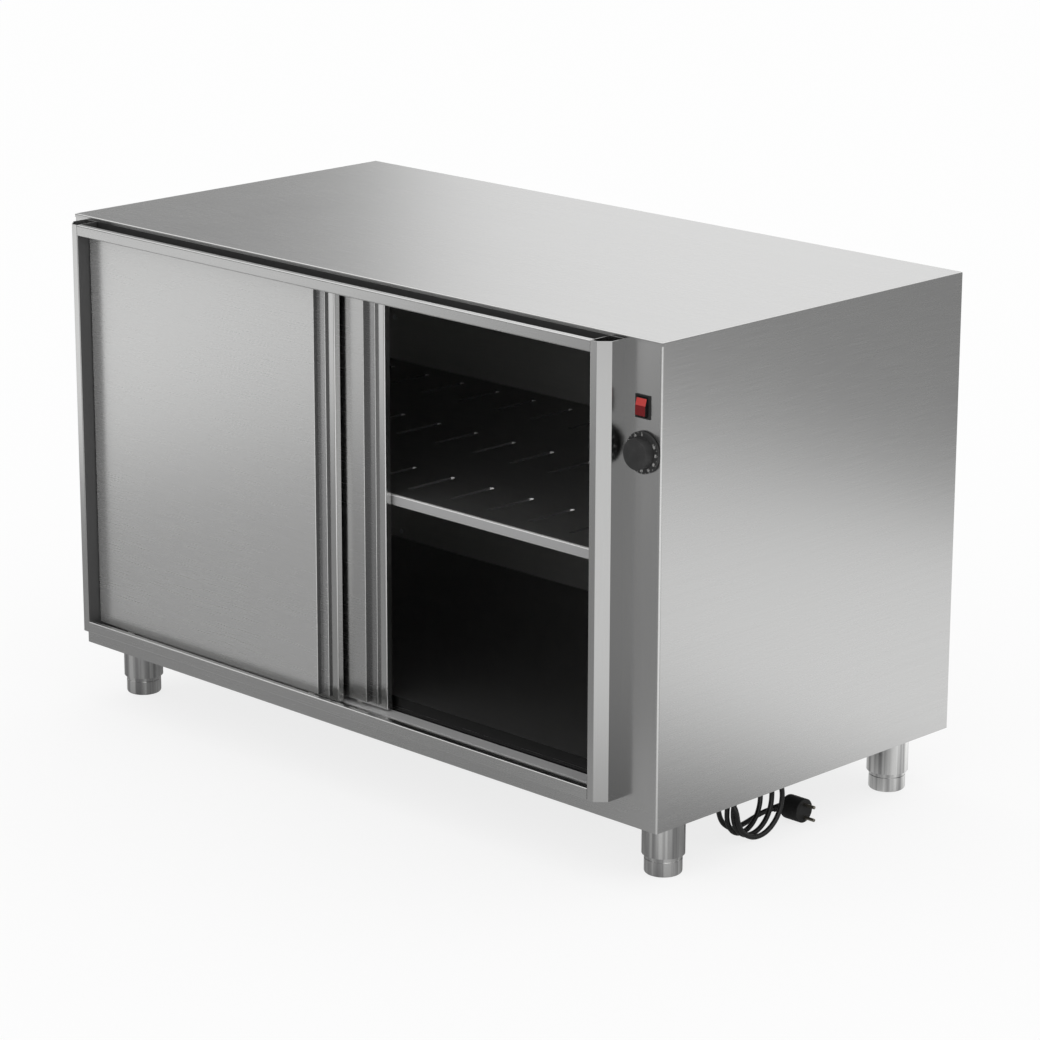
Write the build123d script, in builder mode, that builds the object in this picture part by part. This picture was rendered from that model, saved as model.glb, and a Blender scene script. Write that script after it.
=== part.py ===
from build123d import *
from math import pi, radians, sqrt, tan
import os

os.makedirs("parts", exist_ok=True)

# Plate warmer cabinet. Millimetres. X runs along the cabinet, Y from front to back, Z up.
# The origin is on the floor, under the middle of the cabinet's footprint.

# Overall sizes
body_width = 1200.0
body_depth = 620.0
body_height = 675.0
foot_height = 85.0
frame_projection = 38.0

# Sheet thicknesses and folds
skin = 1.2
worktop_sheet = 1.5
worktop_lip = 5.5
worktop_edge_radius = 2.0
liner = 1.0
corner_radius = 3.0
corner_return = 5.0
bottom_flange = 12.0
rail_height = 36.0
base_recess = 25.0

# Door frame and tracks, heights above the body's underside and depths from its front
control_width = 67.0
left_post_width = 25.0
frame_chamfer = 14.5
bar_face = 12.0
bar_depth = 8.0
bar_edge_radius = 2.0
jamb_edge_radius = 1.5
bar_height = 16.5
frame_bottom_height = 35.0
track_sheet = 1.5
rear_rail_thickness = 1.5
rear_rail_width = 22.0
track_lip_height = 8.5
chamber_front = 30.0
back_gap = 20.0
chamber_floor_height = 60.0
ceiling_drop = 13.5
track_ceiling_drop = 11.5
track_fin = 1.5
track_fin_drop = 4.5

# Doors
skin_width = 495.0
door_sheet = 1.0
skin_edge_radius = 1.0
lip_edge_radius = 0.8
skin_depth = 8.0
pan_depth = 10.0
pull_width = 15.3
pull_depth = 7.0
pull_lip_width = 4.5
pull_lip_depth = 4.0
stile_width = 15.2
stile_radius = 2.0
front_door_setback = 22.0
door_pitch = 24.0
door_side_gap = 1.0
door_bottom_gap = 4.5
door_top_gap = 3.0
skin_margin = 5.0
rear_door_shift = 77.0
roller_radius = 10.0
roller_width = 6.0
roller_inset = 60.0
axle_radius = 2.0
running_clearance = 0.05
rest_clearance = 0.3
glide_length = 30.0
glide_thickness = 2.4
glide_width = 6.0
roller_pocket = 1.5
pan_flange = 12.0

# Shelf
shelf_height = 360.0
shelf_lip = 15.0
shelf_sheet = 1.2
shelf_end_gap = 2.0
slot_length = 90.0
slot_width = 8.0
collar_wall = 1.0
collar_height = 6.5
slot_left_margin = 47.5
slot_right_margin = 54.7
slot_end_margin = 81.0
slot_columns = 13
slot_rows = 3
bracket_leg = 18.0
bracket_sheet = 2.0
bracket_screw_drop = 11.0

# Screws.
screw_radius = 2.0
screw_head_radius = 3.8
screw_head_height = 1.8
back_screw_offsets = ((63.8, 429.5), (77.0, 71.7))

# Heating element and insulation.
element_radius = 4.0
element_margin = 80.0
element_inset = 150.0
element_pitch = 110.0
element_runs = 4
cold_end_length = 20.0
clip_inset = 250.0
clip_width = 16.0
clip_sheet = 1.0
clip_foot = 10.0
right_wool = 15.0
base_wool = 10.0

# Controls
control_inset = 33.0
switch_drop = 90.5
switch_width = 26.0
switch_tall = 31.8
bezel_thickness = 2.0
rocker_width = 18.0
rocker_radius = 13.3
rocker_pivot_depth = 1.0
rocker_slope_depth = 1.8
rocker_back_depth = 6.0
rocker_tilt = 8.0
switch_wall = 1.0
switch_depth = 24.0
socket_depth = 10.0
bezel_round_radius = 0.8
trunnion_radius = 1.0
rocker_rise = 4.2
rocker_gap = 0.4
knob_drop = 151.5
knob_inset = 30.5
knob_skirt_radius = 28.5
knob_skirt_thickness = 4.0
knob_cap_radius = 21.0
knob_cap_height = 14.5
knob_gap = 0.8
shaft_radius = 3.0
shaft_knob_depth = 12.0
shaft_body_depth = 15.0
shaft_hole_gap = 1.5
knob_round_radius = 2.0
thermostat_size = 42.0
thermostat_depth = 32.0
capillary_radius = 1.0
capillary_hole_radius = 3.0
capillary_depth = 90.0
capillary_offset_length = 12.0
capillary_bend_radius = 8.0
bulb_radius = 3.2
bulb_lead_length = 40.0
bulb_length = 80.0
terminal_inset_x = 46.0
terminal_inset_y = 160.0
terminal_width = 56.0
terminal_depth = 22.0
terminal_height = 20.0
terminal_pitch = 16.0
terminal_bore = 3.0

# Feet
foot_inset_x = 50.0
foot_inset_front = 69.0
foot_inset_back = 72.0
sleeve_radius = 30.0
sleeve_wall = 1.5
cup_radius = 26.5
cup_visible = 28.5
cup_engagement = 9.0
cup_groove_height = 21.5
stud_radius = 6.0
stud_length = 62.0
foot_nut_height = 12.0
foot_plate = 80.0
foot_plate_thickness = 3.0
foot_plate_corner_radius = 6.0
foot_screw_spacing = 60.0
foot_nut_start = 50.0
cup_round_radius = 4.0
cup_groove_depth = 1.2
cup_groove_width = 1.5

# Cord
cord_radius = 3.7
plug_radius = 17.5
plug_body_length = 33.0
plug_neck_length = 20.0
plug_neck_root = 5.0
pin_radius = 2.4
pin_length = 19.0
pin_spacing = 19.0
gland_radius = 8.5
gland_length = 10.0
relief_length = 20.0
relief_radius = 6.5
relief_wall = 1.2
gland_thread_radius = 6.2
gland_thread_length = 8.0
gland_inset_x = 50.0
gland_inset_y = 206.5
coil_outer_radius = 52.3
coil_inner_radius = 41.0
coil_width = 42.4
coil_inset_x = 36.3
coil_inset_y = 256.5
coil_floor_gap = 0.2
tail_lap_length = 4.0
tail_start_inset = 5.2
tail_start_reach = 25.0
tail_near_gap = 5.8
tail_near_reach = 1.5
tail_middle_gap = 10.0
tail_middle_reach = 27.1
tail_far_gap = 11.2
tail_far_reach = 52.1
tail_far_height = 8.0
tail_straight_length = 10.0
cord_clip_wall = 1.5
cord_clip_width = 12.0
plug_inset_x = 70.7
plug_inset_y = 350.0
plug_neck_radius = 7.5
plug_shoulder_radius = 5.0
plug_rim_radius = 1.0
pin_tip_radius = 1.0
bend_share = 0.45

# Places worked out from the sizes
left = -body_width / 2
right = body_width / 2
front = frame_projection - (body_depth + frame_projection) / 2
back = front + body_depth
base = foot_height
top = base + body_height
shell_top = top - worktop_lip
frame_front = front - frame_projection
bar_back = frame_front + bar_depth
box_left = left + left_post_width
box_right = right - control_width
opening_left = box_left + frame_chamfer + bar_face
opening_right = box_right - frame_chamfer - bar_face
frame_bottom = base + frame_bottom_height
chamber_front_y = front + chamber_front
chamber_back_y = back - back_gap
chamber_depth = chamber_back_y - chamber_front_y
floor_z = base + chamber_floor_height
ceiling_z = shell_top - ceiling_drop
pan_z = base + base_recess
track_z = base + rail_height + track_sheet
rear_rail_z = track_z + rear_rail_thickness
track_ceiling_z = shell_top - track_ceiling_drop
control_x = right - control_inset
switch_z = top - switch_drop
switch_half_width = rocker_width / 2 + rocker_gap + switch_wall
switch_half_height = rocker_radius + rocker_gap + switch_wall
knob_x = right - knob_inset
knob_z = top - knob_drop
bracket_screw_z = base + shelf_height - shelf_sheet - bracket_screw_drop
bracket_screw_ys = [chamber_front_y + chamber_depth * share for share in (1 / 6, 1 / 2, 5 / 6)]
bracket_screw_places = [(screw_y, bracket_screw_z) for screw_y in bracket_screw_ys]
back_screw_places = [(left + offset_x, base + offset_z) for offset_x, offset_z in back_screw_offsets]


def slab(x, y, z, mode=Mode.ADD):
    """Adds a block to the part being built, from its low and high X, Y and Z."""
    middle = ((x[0] + x[1]) / 2, (y[0] + y[1]) / 2, (z[0] + z[1]) / 2)
    with Locations(middle):
        Box(x[1] - x[0], y[1] - y[0], z[1] - z[0], mode=mode)


def rod(start, direction, radius, length, mode=Mode.ADD):
    """Adds a round bar that starts at a point and runs along a direction."""
    with BuildSketch(Plane(origin=start, z_dir=direction)) as section:
        Circle(radius)
    extrude(section.sketch, amount=length, mode=mode)


# ---------------------------------------------------------------- outer shell

# The worktop is a shallow tray, open underneath, with a small radius on its upper edge.
with BuildPart() as worktop:
    slab((left, right), (front, back), (shell_top, top))
    fillet(worktop.edges().group_by(Axis.Z)[-1], radius=worktop_edge_radius)
    slab(
        (left + worktop_sheet, right - worktop_sheet),
        (front + worktop_sheet, back - worktop_sheet),
        (shell_top, top - worktop_sheet),
        mode=Mode.SUBTRACT,
    )
worktop.part.label = "worktop"
export_step(worktop.part, "parts/worktop.step")

# A stiffening board fills the tray.
with BuildPart() as worktop_board:
    slab(
        (left + worktop_sheet, right - worktop_sheet),
        (front + worktop_sheet, back - worktop_sheet),
        (shell_top, top - worktop_sheet),
    )
worktop_board.part.label = "worktop_board"
export_step(worktop_board.part, "parts/worktop_board.step")


def side_panel(outer_x, inward):
    """A side sheet with a rounded front corner and a flange folded in along its foot."""
    with BuildPart() as panel:
        with BuildSketch(Plane.XY.offset(base)):
            with BuildLine():
                Polyline(
                    (outer_x, back),
                    (outer_x, front),
                    (outer_x + inward * corner_return, front),
                    (outer_x + inward * corner_return, front + skin),
                    (outer_x + inward * skin, front + skin),
                    (outer_x + inward * skin, back),
                    close=True,
                )
            make_face()
        extrude(amount=shell_top - base)
        upright = panel.edges().filter_by(Axis.Z)
        outer_corner = upright.sort_by_distance((outer_x, front, base))[0]
        inner_corner = upright.sort_by_distance((outer_x + inward * skin, front + skin, base))[0]
        fillet(outer_corner, radius=corner_radius)
        fillet(inner_corner, radius=corner_radius - skin)
        flange_x = sorted((outer_x, outer_x + inward * bottom_flange))
        slab(flange_x, (front + corner_radius, back - skin), (base, base + skin))
    return panel.part


for side_name, outer_x, inward in (("left", left, 1), ("right", right, -1)):
    panel_part = side_panel(outer_x, inward)
    panel_part.label = f"{side_name}_side_panel"
    export_step(panel_part, f"parts/{side_name}_side_panel.step")

with BuildPart() as back_panel:
    slab((left + skin, right - skin), (back - skin, back), (base, shell_top))
    slab(
        (left + bottom_flange, right - bottom_flange),
        (back - bottom_flange, back),
        (base, base + skin),
    )
back_panel.part.label = "back_panel"
export_step(back_panel.part, "parts/back_panel.step")

with BuildPart() as front_rail:
    slab((left + corner_return, right - corner_return), (front, front + skin), (base, base + rail_height))
    slab(
        (left + bottom_flange, right - bottom_flange),
        (front, front + bottom_flange),
        (base, base + skin),
    )
front_rail.part.label = "front_rail"
export_step(front_rail.part, "parts/front_rail.step")

# The control fascia carries the switch in a rectangular cut-out, and the thermostat shaft in a hole.
with BuildPart() as control_fascia:
    slab(
        (opening_right + liner, right - corner_return),
        (front, front + skin),
        (base + rail_height, shell_top),
    )
    slab(
        (control_x - switch_half_width, control_x + switch_half_width),
        (front, front + skin),
        (switch_z - switch_half_height, switch_z + switch_half_height),
        mode=Mode.SUBTRACT,
    )
    rod((knob_x, front, knob_z), (0, 1, 0), shaft_radius + shaft_hole_gap, skin, mode=Mode.SUBTRACT)
control_fascia.part.label = "control_fascia"
export_step(control_fascia.part, "parts/control_fascia.step")

with BuildPart() as left_fascia:
    slab(
        (left + corner_return, opening_left - liner),
        (front, front + skin),
        (base + rail_height, shell_top),
    )
left_fascia.part.label = "left_fascia"
export_step(left_fascia.part, "parts/left_fascia.step")

# The base pan is recessed between the skirts and carries the feet and the cable gland.
gland_x = right - gland_inset_x
gland_y = front + gland_inset_y
foot_xs = (left + foot_inset_x, right - foot_inset_x)
foot_ys = (front + foot_inset_front, back - foot_inset_back)
foot_centres = [(foot_x, foot_y) for foot_x in foot_xs for foot_y in foot_ys]
with BuildPart() as base_pan:
    slab((left + skin, right - skin), (front + corner_radius, back - skin), (pan_z, pan_z + skin))
    rod((gland_x, gland_y, pan_z), (0, 0, 1), gland_thread_radius, skin, mode=Mode.SUBTRACT)
    with BuildSketch(Plane.XY.offset(pan_z)):
        with Locations(*foot_centres):
            with GridLocations(foot_screw_spacing, foot_screw_spacing, 2, 2):
                Circle(screw_radius)
    extrude(amount=skin, mode=Mode.SUBTRACT)
base_pan.part.label = "base_pan"
export_step(base_pan.part, "parts/base_pan.step")

# ---------------------------------------------------------------- door frame


def frame_jamb(box_x, opening_x):
    """One upright of the door frame: a closed tube with a chamfered outer corner, and a return."""
    outward = 1 if box_x > opening_x else -1
    outline = [
        (opening_x, frame_front),
        (box_x - outward * frame_chamfer, frame_front),
        (box_x, frame_front + frame_chamfer),
        (box_x, front),
        (opening_x, front),
    ]
    with BuildPart() as jamb:
        with BuildSketch(Plane.XY.offset(frame_bottom)):
            with BuildLine():
                Polyline(*outline, close=True)
            make_face()
            offset(amount=-skin, kind=Kind.INTERSECTION, mode=Mode.SUBTRACT)
        extrude(amount=shell_top - frame_bottom)
        upright = jamb.edges().filter_by(Axis.Z)
        folds = [upright.sort_by_distance((*corner, frame_bottom))[0] for corner in outline[:3]]
        fillet(folds, radius=jamb_edge_radius)
        return_x = sorted((opening_x, opening_x + outward * liner))
        slab(return_x, (front, chamber_front_y), (track_z + rear_rail_thickness, shell_top))
    return jamb.part


for side_name, box_x, opening_x in (
    ("left", box_left, opening_left),
    ("right", box_right, opening_right),
):
    jamb_part = frame_jamb(box_x, opening_x)
    jamb_part.label = f"{side_name}_frame_jamb"
    export_step(jamb_part, f"parts/{side_name}_frame_jamb.step")

# Two square tubes join the jambs, one below the doors and one above them.
with BuildPart() as frame_bars:
    bar_bottoms = (frame_bottom, shell_top - bar_height)
    for bar_bottom in bar_bottoms:
        slab((opening_left, opening_right), (frame_front, bar_back), (bar_bottom, bar_bottom + bar_height))
    fillet(frame_bars.edges().filter_by(Axis.X).group_by(Axis.Y)[0], radius=bar_edge_radius)
    for bar_bottom in bar_bottoms:
        slab(
            (opening_left, opening_right),
            (frame_front + skin, bar_back - skin),
            (bar_bottom + skin, bar_bottom + bar_height - skin),
            mode=Mode.SUBTRACT,
        )
frame_bars.part.label = "frame_bars"
export_step(frame_bars.part, "parts/frame_bars.step")

# The lower track is one folded sheet: a floor under both doors and a lip behind the rear door.
lip_y = chamber_front_y
lip_span = (lip_y, lip_y + track_sheet)
with BuildPart() as lower_track:
    slab((opening_left, opening_right), (bar_back, lip_y + track_sheet), (base + rail_height, track_z))
    slab((opening_left, opening_right), lip_span, (track_z, base + rail_height + track_lip_height))
lower_track.part.label = "lower_track"
export_step(lower_track.part, "parts/lower_track.step")

with BuildPart() as rear_rail:
    slab((opening_left, opening_right), (lip_y - 2 - rear_rail_width, lip_y - 2), (track_z, rear_rail_z))
rear_rail.part.label = "rear_rail"
export_step(rear_rail.part, "parts/rear_rail.step")

# The upper track is a plate with two fins, one between the doors and one behind the rear door,
# and an upstand that closes the gap under the worktop.
front_door_y = frame_front + front_door_setback
rear_door_y = front_door_y + door_pitch
door_depth = skin_depth + pan_depth
middle_fin_y = (front_door_y + door_depth + rear_door_y) / 2 - track_fin / 2
with BuildPart() as upper_track:
    slab((opening_left, opening_right), (bar_back, lip_span[1]), (track_ceiling_z, track_ceiling_z + skin))
    slab((opening_left, opening_right), (front, front + skin), (track_ceiling_z + skin, shell_top))
    slab(
        (opening_left, opening_right),
        (middle_fin_y, middle_fin_y + track_fin),
        (track_ceiling_z - track_fin_drop, track_ceiling_z),
    )
    slab((opening_left, opening_right), lip_span, (ceiling_z, track_ceiling_z))
upper_track.part.label = "upper_track"
export_step(upper_track.part, "parts/upper_track.step")

# ---------------------------------------------------------------- heated chamber

# The thermostat's capillary tube enters through a hole in the right-hand liner.
capillary_z = knob_z
capillary_y = front + capillary_depth
with BuildPart() as left_chamber_liner:
    slab(
        (opening_left - liner, opening_left),
        (chamber_front_y, chamber_back_y + liner),
        (floor_z - liner, ceiling_z + liner),
    )
    for screw_y, screw_z in bracket_screw_places:
        rod((opening_left - liner, screw_y, screw_z), (1, 0, 0), screw_radius, liner, mode=Mode.SUBTRACT)
left_chamber_liner.part.label = "left_chamber_liner"
export_step(left_chamber_liner.part, "parts/left_chamber_liner.step")

with BuildPart() as right_chamber_liner:
    slab(
        (opening_right, opening_right + liner),
        (chamber_front_y, chamber_back_y + liner),
        (floor_z - liner, ceiling_z + liner),
    )
    for screw_y, screw_z in bracket_screw_places:
        rod((opening_right, screw_y, screw_z), (1, 0, 0), screw_radius, liner, mode=Mode.SUBTRACT)
    capillary_hole = (opening_right, capillary_y, capillary_z)
    rod(capillary_hole, (1, 0, 0), capillary_hole_radius, liner, mode=Mode.SUBTRACT)
right_chamber_liner.part.label = "right_chamber_liner"
export_step(right_chamber_liner.part, "parts/right_chamber_liner.step")

with BuildPart() as back_chamber_liner:
    slab(
        (opening_left, opening_right),
        (chamber_back_y, chamber_back_y + liner),
        (floor_z - liner, ceiling_z),
    )
    for screw_x, screw_z in back_screw_places:
        rod((screw_x, chamber_back_y, screw_z), (0, 1, 0), screw_radius, liner, mode=Mode.SUBTRACT)
back_chamber_liner.part.label = "back_chamber_liner"
export_step(back_chamber_liner.part, "parts/back_chamber_liner.step")

# The chamber floor turns down behind the lower track's lip and stands on the track's floor.
with BuildPart() as chamber_floor:
    slab(
        (opening_left, opening_right),
        (lip_y + track_sheet, chamber_back_y),
        (floor_z - liner, floor_z),
    )
    slab(
        (opening_left, opening_right),
        (lip_y + track_sheet, lip_y + track_sheet + liner),
        (base + rail_height, floor_z),
    )
chamber_floor.part.label = "chamber_floor"
export_step(chamber_floor.part, "parts/chamber_floor.step")

with BuildPart() as chamber_ceiling:
    slab(
        (opening_left, opening_right),
        (lip_y + track_sheet, chamber_back_y + liner),
        (ceiling_z, ceiling_z + liner),
    )
chamber_ceiling.part.label = "chamber_ceiling"
export_step(chamber_ceiling.part, "parts/chamber_ceiling.step")

# ---------------------------------------------------------------- heating element

# A sheathed element snakes along under the chamber floor, and its two cold ends reach the
# wiring compartment on the right.
wall_x = opening_right + liner
element_z = floor_z - liner - element_radius
element_far_x = opening_left + element_margin
element_near_x = opening_right - element_margin
element_end_x = wall_x + right_wool + cold_end_length
element_first_y = front + element_inset
element_ys = [element_first_y + run * element_pitch for run in range(element_runs)]
element_points = [(element_end_x, element_ys[0], element_z)]
for run, run_y in enumerate(element_ys):
    near_x = element_near_x if run % 2 == 0 else element_far_x
    far_x = element_far_x if run % 2 == 0 else element_near_x
    if run > 0:
        element_points.append((near_x, run_y, element_z))
    if run < element_runs - 1:
        element_points.append((far_x, run_y, element_z))
element_points.append((element_end_x, element_ys[-1], element_z))
with BuildPart() as heating_element:
    with BuildLine():
        FilletPolyline(*element_points, radius=element_pitch * 0.45)
    with BuildSketch(Plane(origin=element_points[0], z_dir=(-1, 0, 0))):
        Circle(element_radius)
    sweep()
heating_element.part.label = "heating_element"
export_step(heating_element.part, "parts/heating_element.step")

# Saddle clips hold the element up against the chamber floor.
with BuildPart() as element_clips:
    for clip_x in (opening_left + clip_inset, opening_right - clip_inset):
        clip_span = (clip_x - clip_width / 2, clip_x + clip_width / 2)
        for run_y in element_ys:
            half_span = element_radius + clip_sheet
            under = element_z - element_radius
            slab(clip_span, (run_y - half_span, run_y + half_span), (under - clip_sheet, under))
            for side in (-1, 1):
                leg = sorted((run_y + side * element_radius, run_y + side * half_span))
                foot = sorted((run_y + side * half_span, run_y + side * (half_span + clip_foot)))
                slab(clip_span, leg, (under, floor_z - liner))
                slab(clip_span, foot, (floor_z - liner - clip_sheet, floor_z - liner))
element_clips.part.label = "element_clips"
export_step(element_clips.part, "parts/element_clips.step")

# ---------------------------------------------------------------- insulation

# One blanket of mineral wool wraps the chamber on both sides, behind, above and below.
wool_bottom = pan_z + skin
with BuildPart() as insulation_blanket:
    slab((left + skin, wall_x + right_wool), (chamber_front_y, back - skin), (wool_bottom, shell_top))
    slab(
        (opening_left - liner, wall_x),
        (chamber_front_y, chamber_back_y + liner),
        (wool_bottom + base_wool, ceiling_z + liner),
        mode=Mode.SUBTRACT,
    )
    slab(
        (opening_left - liner, wall_x),
        (chamber_front_y, lip_y + track_sheet + liner),
        (wool_bottom, shell_top),
        mode=Mode.SUBTRACT,
    )
    for run_y in (element_ys[0], element_ys[-1]):
        rod((wall_x, run_y, element_z), (1, 0, 0), element_radius, right_wool, mode=Mode.SUBTRACT)
    rod((wall_x, capillary_y, capillary_z), (1, 0, 0), capillary_hole_radius, right_wool, mode=Mode.SUBTRACT)
insulation_blanket.part.label = "insulation_blanket"
export_step(insulation_blanket.part, "parts/insulation_blanket.step")

# ---------------------------------------------------------------- shelf

shelf_top = base + shelf_height
shelf_under = shelf_top - shelf_sheet
shelf_left = opening_left + shelf_end_gap
shelf_right = opening_right - shelf_end_gap
slot_start_x = opening_left + slot_left_margin
slot_end_x = opening_right - slot_right_margin
slot_pitch = (slot_end_x - slot_start_x) / (slot_columns - 1)
slot_row_pitch = (chamber_depth - 2 * slot_end_margin) / (slot_rows - 1)
slot_centre_x = (slot_start_x + slot_end_x) / 2
slot_centre_y = (chamber_front_y + chamber_back_y) / 2
# The shelf is one folded sheet, and each of its slots has a short drawn collar underneath.
with BuildPart() as shelf:
    slab((shelf_left, shelf_right), (chamber_front_y, chamber_back_y), (shelf_under, shelf_top))
    slab(
        (shelf_left, shelf_right),
        (chamber_front_y, chamber_front_y + shelf_sheet),
        (shelf_top - shelf_lip, shelf_top),
    )
    fillet(shelf.edges().filter_by(Axis.X).group_by(Axis.Z)[-1].sort_by(Axis.Y)[0], radius=shelf_sheet)
    with BuildSketch(Plane((slot_centre_x, slot_centre_y, shelf_top - collar_height))):
        with GridLocations(slot_pitch, slot_row_pitch, slot_columns, slot_rows):
            SlotOverall(slot_length + 2 * collar_wall, slot_width + 2 * collar_wall, rotation=90)
    extrude(amount=collar_height)
    with BuildSketch(Plane((slot_centre_x, slot_centre_y, shelf_top - collar_height))):
        with GridLocations(slot_pitch, slot_row_pitch, slot_columns, slot_rows):
            SlotOverall(slot_length, slot_width, rotation=90)
    extrude(amount=collar_height, mode=Mode.SUBTRACT)
shelf.part.label = "shelf"
export_step(shelf.part, "parts/shelf.step")

# An angle on each side wall carries the shelf.
bracket_top = shelf_under
with BuildPart() as shelf_brackets:
    for wall, inward in ((opening_left, 1), (opening_right, -1)):
        upright = sorted((wall, wall + inward * bracket_sheet))
        ledge = sorted((wall, wall + inward * bracket_leg))
        run = (chamber_front_y + shelf_lip, chamber_back_y)
        slab(upright, run, (bracket_top - bracket_leg, bracket_top))
        slab(ledge, run, (bracket_top - bracket_sheet, bracket_top))
        for screw_y, screw_z in bracket_screw_places:
            rod((upright[0], screw_y, screw_z), (1, 0, 0), screw_radius, bracket_sheet, mode=Mode.SUBTRACT)
shelf_brackets.part.label = "shelf_brackets"
export_step(shelf_brackets.part, "parts/shelf_brackets.step")

# Pan-head screws hold the angles to the walls, and two more hold the back wall.
with BuildPart() as chamber_screws:
    for wall, inward in ((opening_left, 1), (opening_right, -1)):
        for screw_y, screw_z in bracket_screw_places:
            face = (wall + inward * bracket_sheet, screw_y, screw_z)
            rod(face, (inward, 0, 0), screw_head_radius, screw_head_height)
            rod(face, (-inward, 0, 0), screw_radius, bracket_sheet + liner)
    for screw_x, screw_z in back_screw_places:
        face = (screw_x, chamber_back_y, screw_z)
        rod(face, (0, -1, 0), screw_head_radius, screw_head_height)
        rod(face, (0, 1, 0), screw_radius, liner)
chamber_screws.part.label = "chamber_screws"
export_step(chamber_screws.part, "parts/chamber_screws.step")

# ---------------------------------------------------------------- switch and thermostat

# The switch has a flanged bezel, a socket for the rocker and two bores for the rocker's trunnions.
pivot_y = front + rocker_pivot_depth
socket_x = switch_half_width - switch_wall
socket_z = switch_half_height - switch_wall
with BuildPart() as switch_body:
    slab(
        (control_x - switch_width / 2, control_x + switch_width / 2),
        (front - bezel_thickness, front),
        (switch_z - switch_tall / 2, switch_z + switch_tall / 2),
    )
    fillet(switch_body.faces().sort_by(Axis.Y)[0].edges(), radius=bezel_round_radius)
    slab(
        (control_x - switch_half_width, control_x + switch_half_width),
        (front, front + switch_depth),
        (switch_z - switch_half_height, switch_z + switch_half_height),
    )
    slab(
        (control_x - socket_x, control_x + socket_x),
        (front - bezel_thickness, front + socket_depth),
        (switch_z - socket_z, switch_z + socket_z),
        mode=Mode.SUBTRACT,
    )
    bore_start = (control_x - switch_half_width, pivot_y, switch_z)
    bore_radius = trunnion_radius + running_clearance
    rod(bore_start, (1, 0, 0), bore_radius, 2 * switch_half_width, mode=Mode.SUBTRACT)
switch_body.part.label = "switch_body"
export_step(switch_body.part, "parts/switch_body.step")

# The rocker is a round-ended block with a ridge across its face, and it rests with its top pushed in.
rocker_side = (control_x - rocker_width / 2, pivot_y, switch_z)
rocker_plane = Plane(origin=rocker_side, x_dir=(0, 1, 0), z_dir=(1, 0, 0))
ridge = rocker_pivot_depth + bezel_thickness + rocker_rise
with BuildPart() as rocker:
    with BuildSketch(rocker_plane):
        Circle(rocker_radius)
        Polygon(
            (-ridge + rocker_slope_depth, rocker_radius),
            (-ridge, 0),
            (-ridge + rocker_slope_depth, -rocker_radius),
            (rocker_back_depth, -rocker_radius),
            (rocker_back_depth, rocker_radius),
            rotation=-rocker_tilt,
            align=None,
            mode=Mode.INTERSECT,
        )
    extrude(amount=rocker_width)
    for side in (-1, 1):
        face = (control_x + side * rocker_width / 2, pivot_y, switch_z)
        rod(face, (side, 0, 0), trunnion_radius, rocker_gap + switch_wall)
rocker.part.label = "rocker"
export_step(rocker.part, "parts/rocker.step")

# The knob has a flat skirt that carries the dial and a raised cap. It is pushed onto a steel shaft.
knob_back = front - knob_gap
with BuildPart() as knob:
    rod((knob_x, knob_back, knob_z), (0, -1, 0), knob_skirt_radius, knob_skirt_thickness)
    rod(
        (knob_x, knob_back - knob_skirt_thickness, knob_z),
        (0, -1, 0),
        knob_cap_radius,
        knob_cap_height,
    )
    fillet(knob.edges().sort_by(Axis.Y)[0], radius=knob_round_radius)
    rod((knob_x, knob_back, knob_z), (0, -1, 0), shaft_radius, shaft_knob_depth, mode=Mode.SUBTRACT)
knob.part.label = "knob"
export_step(knob.part, "parts/knob.step")

body_front = front + skin
with BuildPart() as thermostat_shaft:
    rod(
        (knob_x, knob_back - shaft_knob_depth, knob_z),
        (0, 1, 0),
        shaft_radius,
        shaft_knob_depth + knob_gap + skin + shaft_body_depth,
    )
thermostat_shaft.part.label = "thermostat_shaft"
export_step(thermostat_shaft.part, "parts/thermostat_shaft.step")

with BuildPart() as thermostat_body:
    slab(
        (knob_x - thermostat_size / 2, knob_x + thermostat_size / 2),
        (body_front, body_front + thermostat_depth),
        (knob_z - thermostat_size / 2, knob_z + thermostat_size / 2),
    )
    rod(
        (knob_x, body_front, knob_z),
        (0, 1, 0),
        shaft_radius + running_clearance,
        shaft_body_depth + rest_clearance,
        mode=Mode.SUBTRACT,
    )
thermostat_body.part.label = "thermostat_body"
export_step(thermostat_body.part, "parts/thermostat_body.step")

# A capillary tube leads from the back of the thermostat to its bulb on the chamber's right wall.
bulb_x = opening_right - bulb_radius
bulb_start_y = capillary_y + bulb_lead_length
capillary_x = knob_x - capillary_offset_length
capillary_start = (capillary_x, body_front + thermostat_depth, capillary_z)
with BuildPart() as thermostat_bulb:
    with BuildLine():
        FilletPolyline(
            capillary_start,
            (capillary_x, capillary_y, capillary_z),
            (bulb_x, capillary_y, capillary_z),
            (bulb_x, bulb_start_y, capillary_z),
            radius=capillary_bend_radius,
        )
    with BuildSketch(Plane(origin=capillary_start, z_dir=(0, 1, 0))):
        Circle(capillary_radius)
    sweep()
    rod((bulb_x, bulb_start_y, capillary_z), (0, 1, 0), bulb_radius, bulb_length)
thermostat_bulb.part.label = "thermostat_bulb"
export_step(thermostat_bulb.part, "parts/thermostat_bulb.step")

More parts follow.
